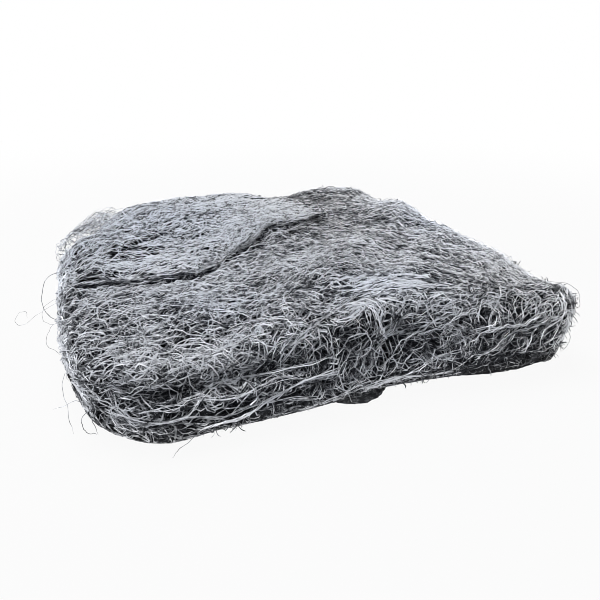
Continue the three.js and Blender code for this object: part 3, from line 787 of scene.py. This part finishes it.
# Strands of the folded end. Where one passes the front or right edge it is turned back, as far behind the
# edge as it had run in front of it, most of them on top and a share under the fold. At the right some run
# out over the edge.
def buildFold():
    values, f = foldStrands, foldForm
    rng = np.random.default_rng(values["seed"])
    count = values["leaders"]
    fromLeft = rng.uniform(f["sideGap"], f["length"] - values["tipMargin"], count)
    fromBack = f["sideGap"] + (foldReach(fromLeft) - f["sideGap"]) * rng.random(count)
    fromLeft = fromLeft * foldEnd(fromBack) / f["length"]
    start = np.stack([fromLeft, fromBack, np.full(count, matForm["thickness"])], -1)
    start = start * (1, -1, 1) + (-matForm["length"] / 2, matForm["depth"] / 2, 0)
    places, ups = walk(values, start, headings(rng, start, values["scatter"]))
    places, ups = makeLocks(values, places, ups, values["shorter"])
    inside, swing = insideFold(places[..., 0], places[..., 1])
    each = (len(places), 1)
    free = rng.random(each) < values["freeShare"] * swing[:, :1]
    margin = np.where(free, -values["freeReach"], values["lipMargin"]) * rng.random(each)
    past = np.minimum(inside - margin, 0)
    pastTip = places[..., 0] + matForm["length"] / 2 > foldEnd(matForm["depth"] / 2 - places[..., 1]) - margin
    places[..., 0] += np.where(pastTip, 2 * past, 0)
    places[..., 1] -= np.where(pastTip, 0, 2 * past)
    places, ups = settle(places)
    upper, lower, _, crack = foldHeights(places[..., 0], places[..., 1])
    height = weave(values, *places.shape[:2])
    under = rng.random(each) < values["underShare"]
    off = np.where(under, inside - margin, np.abs(inside - margin))
    level = (upper + lower) / 2 + (upper - lower) / 2 * np.clip(off / values["turnWidth"], -1, 1)
    path = onMat(places, ups, level + height)
    # Painted shade: strands in the crack and beneath the fold's lip get a darker tone
    tone = toneAlong(values, places, ups, height - crack * values["crackShade"])
    beneath = smoothStep(-off, -values["turnWidth"], values["turnWidth"]) * (1 - swing) ** 2
    tone = np.clip(tone - values["underShade"] * beneath, darkest, 1)
    strandMesh("fold_strands", path, ups, pickWidth(values, len(path)), tone, lead)


buildFold()

# Strands that lie along the folded end's edge and make a firm lip: where along it they start and how far
# inside it they lie, in mm
lipStrands = {"count": 90, "from": 5.0, "to": 82.0, "steps": 12, "step": 1.3, "inset": 1.3, "sway": 0.25,
              "swayPitch": 6, "tipMargin": 1.0, "width": 0.26, "tone": 0.7, "underShade": 0.5,
              "toneSpread": 0.3, "seed": 25}


# Each lip strand follows the edge from its own start, a swaying distance inside it, somewhere between the
# fold's top and underside
def buildLip():
    values = lipStrands
    rng = np.random.default_rng(values["seed"])
    count, steps = values["count"], values["steps"]
    each = (count, 1)
    fromLeft = rng.uniform(values["from"], values["to"], each) + values["step"] * np.arange(steps)
    inset = values["inset"] * rng.random(each)
    inset = inset + ripple(rng, count, steps, values["sway"], values["swayPitch"])
    fromBack = foldReach(np.minimum(fromLeft, foldForm["length"] - values["tipMargin"])) - inset
    x, y = fromLeft - matForm["length"] / 2, matForm["depth"] / 2 - fromBack
    upper, lower, _, _ = foldHeights(x, y)
    places, ups = settle(np.stack([x, y, np.full_like(x, matForm["thickness"])], -1))
    share = rng.random(each)
    height = lower + (upper - lower) * share
    height = height + ripple(rng, count, steps, values["sway"], values["swayPitch"])
    tone = values["tone"] + values["toneSpread"] * rng.standard_normal(each)
    # Painted shade: the nearer a lip strand lies to the fold's underside, the darker
    tone = np.clip(tone - values["underShade"] * (1 - share), 0, 1)
    strandMesh("lip_strands", onMat(places, ups, height), ups, pickWidth(values, count), tone, lead)


buildLip()

# Open tangle of the walls, and locks that lie over it. frontShare of them start on the front wall. Their low
# tone is painted shade on the walls; the foot value darkens them near the floor and the left value lightens
# the left side, as painted shade and light.
wallTangle = {
    "leaders": 2550, "frontShare": 0.35, "lock": 1, "lockWidth": 0.0, "drift": 0.3, "driftPitch": 4,
    "steps": 12, "shorter": 0, "step": 2.2, "width": 0.21, "wander": 0.24, "pull": 0.18, "curlShare": 0.2,
    "curlTurn": 0.8, "scatter": 0.65, "levels": (-2.0, 0.1), "sway": 0.6, "swayPitch": 6, "lowest": 0.6,
    "startFrom": 1.0, "tone": 0.17, "toneSpread": 0.4, "lockTone": 0.0, "deepShade": 1.05,
    "hollowShade": 0.05, "leftShade": -0.4, "footShade": 0.35, "footHeight": 4.0, "seed": 31,
}
wallLocks = dict(
    wallTangle, width=0.23, leaders=250, lock=4, lockWidth=0.8, drift=0.4, steps=24, shorter=8, step=1.7,
    wander=0.16, pull=0.24, curlShare=0.06, scatter=0.3, levels=(-1.0, 0.5), tone=0.25, lockTone=0.14,
    seed=41)


# Strands of the walls: started round the edge at random heights, along the wall give or take
def buildWalls(name, values):
    rng = np.random.default_rng(values["seed"])
    count = values["leaders"]
    around = rng.random(count) * 2 * (matForm["length"] + matForm["depth"])
    around = np.where(rng.random(count) < values["frontShare"], rng.random(count) * matForm["length"], around)
    sides = np.cumsum([0, matForm["length"], matForm["depth"], matForm["length"], matForm["depth"]])
    x = np.interp(around, sides, np.array([-0.5, 0.5, 0.5, -0.5, -0.5]) * matForm["length"])
    y = np.interp(around, sides, np.array([-0.5, -0.5, 0.5, 0.5, -0.5]) * matForm["depth"])
    start = np.stack([x, y, rng.uniform(values["startFrom"], matForm["thickness"], count)], -1)
    places, ups = walk(values, start, headings(rng, start, values["scatter"]))
    places, ups = makeLocks(values, places, ups, values["shorter"])
    height = weave(values, *places.shape[:2])
    path = onMat(places, ups, height)
    strandMesh(name, path, ups, pickWidth(values, len(path)), toneAlong(values, places, ups, height), lead)


buildWalls("wall_tangle", wallTangle)
buildWalls("wall_locks", wallLocks)

# Bundles of strands that lie over the front: places on the slab in mm that each one passes
cords = {
    "routes": (
        ((-59, -62, 9), (-55, -67, 8), (-49, -70, 7.4), (-45, -72, 9), (-41, -72, 12), (-36, -72, 13.4),
         (-27, -72, 12.8), (-18, -72, 12.6), (-10, -72, 13)),
        ((-55, -68, 9.8), (-48, -71, 11), (-42, -72, 11.6), (-34, -72, 10.2), (-26, -72, 11),
         (-17, -72, 11.4)),
        ((-54, -68, 7), (-45, -72, 8), (-38, -72, 6), (-30, -72, 7), (-22, -72, 5.6), (-13, -72, 3.6)),
        ((-44, -72, 2), (-38, -72, 4), (-32, -72, 5), (-26, -72, 7), (-18, -72, 9.4), (-8, -72, 10)),
        ((-13, -72, 1.5), (-4, -72, 3), (4, -72, 4), (13, -72, 4.7), (20, -72, 6.9), (28, -72, 8)),
        ((0, -72, 2.6), (8, -72, 3.2), (16, -72, 3), (26, -72, 2.4)),
        ((4, -72, 7), (10, -72, 9.4), (15, -72, 12), (19, -72, 14.4), (24, -72, 16)),
        ((16, -72, 11), (21, -72, 13.2), (26, -72, 15.2), (32, -71, 17)),
        ((-22, -72, 14.5), (-15, -68, 18), (-8, -65, 18), (0, -61, 18), (6, -55, 18)),
        ((0, -62, 18), (3, -68, 18), (5, -72, 15), (7, -72, 12)),
        ((33, -72, 11.6), (41, -72, 12.4), (49, -72, 13.4)),
        ((31, -72, 6), (38, -72, 8.4), (45, -72, 11), (52, -72, 13)),
    ),
    "strands": 3, "steps": 40, "width": 0.23, "height": 0.9, "spread": 0.45, "spreadSway": 0.4,
    "spreadPitch": 16, "twist": 0.04, "flatness": 0.6, "drift": 0.12, "driftPitch": 7, "tone": 0.84,
    "toneSpread": 0.28, "twistShade": 0.15, "seed": 51,
}


# Points along a route: a cubic through each pair of places, shaped by the places before and after them
def alongRoute(route, steps):
    p = np.array(route, float)
    p = np.concatenate([[2 * p[0] - p[1]], p, [2 * p[-1] - p[-2]]])
    t = np.linspace(0, len(p) - 3 - 1e-6, steps)
    k = t.astype(int)
    t = (t - k)[:, None]
    a, b, c, d = p[k], p[k + 1], p[k + 2], p[k + 3]
    return b + t / 2 * (c - a + t * (2 * a - 5 * b + 4 * c - d + t * (3 * (b - c) + d - a)))


# Each bundle's strands wind round its route: a flattened circle across the route, turned further at every
# step. Strands on a bundle's upper side are painted lighter and those under it darker, as painted light and
# shade.
def buildCords():
    values = cords
    rng = np.random.default_rng(values["seed"])
    route = np.stack([alongRoute(r, values["steps"]) for r in values["routes"]])
    places, ups = settle(np.repeat(route, values["strands"], 0))
    count, steps = places.shape[:2]
    side = np.cross(ups, unit(np.gradient(places, axis=1)))
    turn = rng.random((count, 1)) + values["twist"] * np.arange(steps) * rng.choice([-1, 1], (count, 1))
    reach = values["spread"] * np.sqrt(rng.random((count, 1)))
    reach = reach * (1 + ripple(rng, count, steps, values["spreadSway"], values["spreadPitch"]))
    across = reach * np.cos(2 * np.pi * turn)
    across = across + ripple(rng, count, steps, values["drift"], values["driftPitch"])
    places, ups = settle(places + side * across[..., None])
    above = np.sin(2 * np.pi * turn)
    height = values["height"] + values["flatness"] * reach * above
    tone = values["tone"] + values["toneSpread"] * rng.standard_normal((count, 1))
    # Painted light and shade: lighter on the bundle's upper side, darker beneath
    tone = np.clip(tone + values["twistShade"] * above, 0, 1)
    path = onMat(places, ups, height)
    strandMesh("front_cords", path, ups, pickWidth(values, count), tone, lead)


buildCords()

floorGap = 0.0002  # metres between the floor and the middle of a loose strand

# Fine ends that stand off the mat: round its edges, thick at the near corner of the right end, and along
# the front foot
looseEnds = {
    "count": 70, "frayed": 240, "foot": 170, "edgeFrom": 3.0, "edgeOver": 8.0, "frayReach": 36.0,
    "frayFrom": 1.5, "footLevels": (0.8, 4.0), "rootDepth": 0.4, "steps": 6, "step": 0.6, "width": 0.2,
    "turn": 1.2, "curl": 0.4, "shake": 0.18, "droop": 0.05, "stand": 0.2, "frayStand": 1.5,
    "footStand": 0.7, "tone": 0.36, "toneSpread": 0.18, "seed": 61,
}


# Each end leaves the mat between its grain and straight out, then bends by a steady turn of its own and
# droops
def buildLooseEnds():
    values, f = looseEnds, matForm
    rng = np.random.default_rng(values["seed"])
    side = rng.choice([-0.5, 0.5], values["count"])
    anywhere = rng.uniform(-0.5, 0.5, (values["count"], 2))
    edgeX = np.where(rng.random(values["count"]) < 0.5, side, anywhere[:, 0])
    edgeY = np.where(edgeX == side, anywhere[:, 1], side)
    edgeZ = rng.uniform(values["edgeFrom"], f["thickness"] + values["edgeOver"], values["count"])
    edges = np.stack([edgeX * f["length"], edgeY * f["depth"], edgeZ], -1)
    frayY = -f["depth"] / 2 + values["frayReach"] * rng.random(values["frayed"]) ** 2
    frayZ = rng.uniform(values["frayFrom"], f["thickness"], values["frayed"])
    frays = np.stack([np.full(values["frayed"], f["length"] / 2), frayY, frayZ], -1)
    footX = rng.uniform(-0.5, 0.5, values["foot"]) * f["length"]
    footZ = rng.uniform(*values["footLevels"], values["foot"])
    feet = np.stack([footX, np.full(values["foot"], -f["depth"] / 2), footZ], -1)
    start, up = settle(np.concatenate([edges, frays, feet]))
    stand = np.repeat([values["stand"], values["frayStand"], values["footStand"]],
                      [values["count"], values["frayed"], values["foot"]])
    turn = rng.standard_normal((len(start), 1)) * values["turn"]
    grainWay = grainAt(start, up)
    way = unit(grainWay * np.cos(turn) + np.cross(up, grainWay) * np.sin(turn) + up * stand[:, None])
    bend = rng.standard_normal((len(start), 3)) * values["curl"]
    path = [onMat(start, up, np.full(len(start), -values["rootDepth"])) * 1000]
    for _ in range(values["steps"] - 1):
        shake = values["shake"] * rng.standard_normal(way.shape)
        way = unit(way + np.cross(bend, way) + shake - (0, 0, values["droop"]))
        path.append(path[-1] + way * values["step"])
    path = np.stack(path, 1) / 1000
    path[..., 2] = np.maximum(path[..., 2], floorGap)
    tone = toneOfEach(rng, values, len(start))
    ups = np.broadcast_to(up[:, None], path.shape)
    strandMesh("loose_ends", path, ups, pickWidth(values, len(start)), tone, lead)


buildLooseEnds()

# Wool that lies on the floor under the front edge, a tuft that stands out and a fringe at the right: middle,
# half width, root, reach, height and sway in mm. Their near-black tones are painted shade under the edge, and
# the fringe is dark strands that paint the shadow in the gap under the right part of the front edge.
tuft = {"at": 0.5, "half": 10.5, "root": -61.0, "reach": 8.0, "height": 2.6, "count": 200, "steps": 14,
        "sway": (0.4, 0.3, 0.2), "swayPitch": 6, "lift": 0.3, "lowest": 0.2, "width": 0.24, "tone": 0.02,
        "toneSpread": 0.1, "seed": 65}
footFringe = dict(tuft, at=45.0, half=18.0, root=-64.5, reach=3.7, height=1.3, count=110, tone=-0.15, seed=67)


# Each strand is an arch that comes forward from under the mat and goes back: the arches lie inside each
# other, and the outer ones lie lower
def buildTuft(name, values):
    rng = np.random.default_rng(values["seed"])
    count, steps = values["count"], values["steps"]
    t = np.linspace(-1, 1, steps)[None, :]
    share = np.sqrt(rng.random((count, 1)))
    swayX, swayY, swayZ = values["sway"]
    pitch = values["swayPitch"]
    x = values["at"] + values["half"] * np.sqrt(share) * t + ripple(rng, count, steps, swayX, pitch)
    y = values["root"] - values["reach"] * share * (1 - t ** 2) + ripple(rng, count, steps, swayY, pitch)
    z = values["height"] * (1 - share ** 3) * rng.random((count, 1)) + values["lift"]
    z = np.maximum(z + ripple(rng, count, steps, swayZ, pitch), values["lowest"])
    path = (np.stack([x, y, z], -1) + matForm["middle"]) / 1000
    # Near-black tone: painted shade under the front edge
    tone = toneOfEach(rng, values, count, darkest)
    ups = np.broadcast_to(np.array([0.0, 0.0, 1.0]), path.shape)
    strandMesh(name, path, ups, pickWidth(values, count), tone, lead)


buildTuft("front_tuft", tuft)
buildTuft("foot_fringe", footFringe)

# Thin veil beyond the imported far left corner, on a smaller corner radius: from and to are angles in degrees
# round that corner's middle, and innermost is the share of its radius where the strands begin
veil = {
    "leaders": 170, "steps": 11, "step": 1.3, "width": 0.17, "wander": 0.34, "pull": 0.05, "curlShare": 0.4,
    "curlTurn": 0.4, "scatter": 1.0, "cornerFarLeft": 25.0, "from": 108, "to": 168, "innermost": 0.25,
    "startFrom": 9.0, "lowest": 8.0, "levels": (-1.2, 0.6), "sway": 0.5, "swayPitch": 6, "lift": 0.45,
    "tone": 0.6, "toneSpread": 0.3, "lockTone": 0.0, "deepShade": 0.2, "seed": 71,
}


# Strands that walk over a slab with a smaller corner radius, and are lifted part of the way out of the
# corner's drop
def buildVeil():
    values = veil
    rng = np.random.default_rng(values["seed"])
    turn = np.radians(rng.uniform(values["from"], values["to"], values["leaders"]))
    corner = values["cornerFarLeft"]
    middle = np.array([corner - matForm["length"] / 2, matForm["depth"] / 2 - corner])
    outward = rng.uniform(values["innermost"], 1, (values["leaders"], 1))
    spot = middle + corner * outward * np.stack([np.cos(turn), np.sin(turn)], -1)
    level = rng.uniform(values["startFrom"], matForm["thickness"], (values["leaders"], 1))
    start = np.concatenate([spot, level], -1)
    places, ups = walk(values, start, headings(rng, start, values["scatter"]))
    height = weave(values, *places.shape[:2])
    path = onMat(places, ups, height)
    atX, atY, reachX, reachY, tall = cornerDrop
    filled = tall * bell((places[..., 0] - atX) / reachX) * bell((places[..., 1] - atY) / reachY)
    path[..., 2] -= values["lift"] * filled * places[..., 2] / matForm["thickness"] / 1000
    tone = toneAlong(values, places, ups, height)
    strandMesh("corner_veil", path, ups, pickWidth(values, len(path)), tone, lead)


buildVeil()

# Single strands that hang off the left side, the near corner and the right end: places in mm from the mat's
# middle
wisps = {
    "routes": (
        ((-62, 12, 17), (-67, 8, 16), (-69.5, 5, 11), (-68, 3, 6), (-65, 2, 4)),
        ((-62, -8, 15), (-67, -9, 14), (-71, -10, 12), (-75, -11, 10), (-77, -11, 11), (-76, -10, 13),
         (-74, -9, 13), (-74, -9, 11)),
        ((-64, -6, 15), (-69, -7, 13), (-70, -8, 9.5), (-67, -9, 8), (-64, -9, 9.5)),
        ((-63, -20, 13), (-68, -22, 13), (-70, -24, 9), (-67, -26, 6)),
        ((-64, -50, 15), (-68, -54, 13), (-68, -58, 8), (-67.5, -60, 2)),
        ((-71, -60, 9), (-67.3, -60, 9.9), (-65.2, -60, 9.9), (-63.8, -60, 7.8), (-63, -60, 4),
         (-62.4, -60, 0.6)),
        ((-58, -58, 6), (-64, -61, 7.4), (-65.6, -62, 5), (-64.4, -62, 2.8), (-62.6, -62, 2)),
        ((-49, -75, 0.5), (-44, -74, 3.4), (-38, -73, 5.6), (-31, -72, 7.4)),
        ((62, -56, 19), (66, -62, 20), (66.6, -66, 18.6), (66.4, -67.6, 15.6), (65.6, -66, 13)),
        ((62, -62, 9), (65.4, -65, 7.4), (65.8, -66.6, 4.6), (64.6, -65.6, 1)),
    ),
    "steps": 36, "width": 0.15, "shake": 0.12, "shakePitch": 12, "up": (-0.6, 0.3, 0.74), "tone": 0.42,
    "toneSpread": 0.1, "seed": 81,
}


def buildWisps():  # one bar along each route, shaken a little every way
    values = wisps
    rng = np.random.default_rng(values["seed"])
    path = np.stack([alongRoute(r, values["steps"]) for r in values["routes"]])
    count, steps = path.shape[:2]
    shake = [ripple(rng, count, steps, values["shake"], values["shakePitch"]) for _ in range(3)]
    path = (path + np.stack(shake, -1) + matForm["middle"]) / 1000
    path[..., 2] = np.maximum(path[..., 2], floorGap)
    tone = toneOfEach(rng, values, count)
    ups = np.broadcast_to(np.array(values["up"]), path.shape)
    strandMesh("wisps", path, ups, pickWidth(values, count), tone, lead)


buildWisps()

underStrands = {"leaders": 340, "steps": 13, "step": 2.2, "width": 0.4, "wander": 0.24, "pull": 0.05,
                "curlShare": 0.2, "curlTurn": 0.4, "levels": (0.12, 0.5), "lowest": 0.0, "insetShare": 1.4,
                "tone": 0.35, "toneSpread": 0.16, "seed": 91}


# Strands pressed flat against the floor: each walks over the underside in a random direction, at its own
# level
def buildUnderside():
    values = underStrands
    rng = np.random.default_rng(values["seed"])
    count = values["leaders"]
    inset = matForm["roll"] * values["insetShare"]
    spot = rng.uniform(-0.5, 0.5, (count, 2)) * (matForm["length"] - inset, matForm["depth"] - inset)
    start = np.concatenate([spot, np.zeros((count, 1))], -1)
    turn = rng.random((count, 1)) * 2 * np.pi
    way = np.concatenate([np.cos(turn), np.sin(turn), 0 * turn], -1)
    places, ups = walk(values, start, way)
    path = onMat(places, ups, np.zeros(places.shape[:2]))
    flat = rng.uniform(*values["levels"], (count, 1)) / 1000
    path[..., 2] = np.maximum(path[..., 2], flat)
    strandMesh("under_strands", path, ups, pickWidth(values, count), toneOfEach(rng, values, count), lead)


buildUnderside()

# Plain pale floor and soft light from above. The floor and the world show as white to the camera and in
# reflections, and near the mat the floor keeps part of its shading, so the shadow stays.
stageLook = {
    "floorSize": 30.0, "floor": (0.6, 0.6, 0.61), "floorRough": 0.9,
    "whiteNear": 0.93, "nearReach": 0.12, "farReach": 0.4, "world": 0.25,
    "key": 2.9, "keySize": 0.45, "keyAt": (-0.1, 0.2, 0.6),
    "fill": 1.9, "fillSize": 0.5, "fillAt": (-0.5, -0.6, 0.35),
}


def showsBackground(tree):  # 1 for rays from the camera, reflections and see-through surfaces
    path = addNode(tree, "ShaderNodeLightPath").outputs
    shown = path["Is Camera Ray"]
    for name in ("Is Glossy Ray", "Is Transmission Ray"):
        shown = addNode(tree, "ShaderNodeMath", {"operation": "ADD", "use_clamp": True},
                        {0: shown, 1: path[name]}).outputs[0]
    return shown


def buildFloor():  # a wide plane whose shading goes over into white with the distance from the mat
    bpy.ops.mesh.primitive_plane_add(size=stageLook["floorSize"])
    floor = bpy.context.object
    floor.name = "floor"
    pale = bpy.data.materials.new("pale floor")
    pale.use_nodes = True
    tree = pale.node_tree
    shader = tree.nodes["Principled BSDF"]
    shader.inputs["Base Color"].default_value = (*stageLook["floor"], 1)
    shader.inputs["Roughness"].default_value = stageLook["floorRough"]
    shader.inputs["Specular IOR Level"].default_value = 0.0
    white = addNode(tree, "ShaderNodeEmission").outputs[0]
    place = addNode(tree, "ShaderNodeTexCoord").outputs["Object"]
    away = addNode(tree, "ShaderNodeVectorMath", {"operation": "LENGTH"}, {0: place}).outputs["Value"]
    share = addNode(tree, "ShaderNodeMapRange", {"interpolation_type": "SMOOTHSTEP"},
                    {"Value": away, "From Min": stageLook["nearReach"], "From Max": stageLook["farReach"],
                     "To Min": stageLook["whiteNear"], "To Max": 1.0}).outputs["Result"]
    share = addMath(tree, "MULTIPLY", showsBackground(tree), share)
    mixed = addNode(tree, "ShaderNodeMixShader", None, {0: share, 1: shader.outputs[0], 2: white})
    tree.links.new(mixed.outputs[0], tree.nodes["Material Output"].inputs["Surface"])
    floor.data.materials.append(pale)


def buildLight():  # a dim white world and two square lamps that face the mat
    world = bpy.data.worlds.new("studio")
    scene.world = world
    world.use_nodes = True
    tree = world.node_tree
    seen = addNode(tree, "ShaderNodeMapRange", None,
                   {"Value": showsBackground(tree), "To Min": stageLook["world"], "To Max": 1.0})
    tree.links.new(seen.outputs["Result"], tree.nodes["Background"].inputs["Strength"])
    tree.nodes["Background"].inputs["Color"].default_value = (1, 1, 1, 1)
    for name in ("key", "fill"):
        lamp = bpy.data.lights.new(name, "AREA")
        lamp.energy = stageLook[name]
        lamp.size = stageLook[name + "Size"]
        holder = bpy.data.objects.new(name, lamp)
        holder.location = stageLook[name + "At"]
        holder.rotation_euler = (-holder.location).to_track_quat("-Z", "Y").to_euler()
        scene.collection.objects.link(holder)


buildFloor()
buildLight()

# The photograph's angle in degrees, the place in mm from the mat's middle, and a narrow pixel filter for
# crisp strands
cameraPlace = {"lens": 42.0, "sensor": 36.0, "nearest": 0.01, "pitch": 21.58, "yaw": 22.14,
               "at": (-71.25, -203.06, 87.11), "pixelFilter": 0.9}


def buildCamera():
    camera = bpy.data.objects.new("camera", bpy.data.cameras.new("camera"))
    camera.data.lens = cameraPlace["lens"]
    camera.data.sensor_width = cameraPlace["sensor"]
    camera.data.clip_start = cameraPlace["nearest"]
    camera.location = [(a + b) / 1000 for a, b in zip(cameraPlace["at"], matForm["middle"])]
    camera.rotation_euler = (math.radians(90 - cameraPlace["pitch"]), 0, -math.radians(cameraPlace["yaw"]))
    scene.collection.objects.link(camera)
    scene.camera = camera


buildCamera()
scene.view_settings.view_transform = "Standard"
scene.cycles.filter_width = cameraPlace["pixelFilter"]
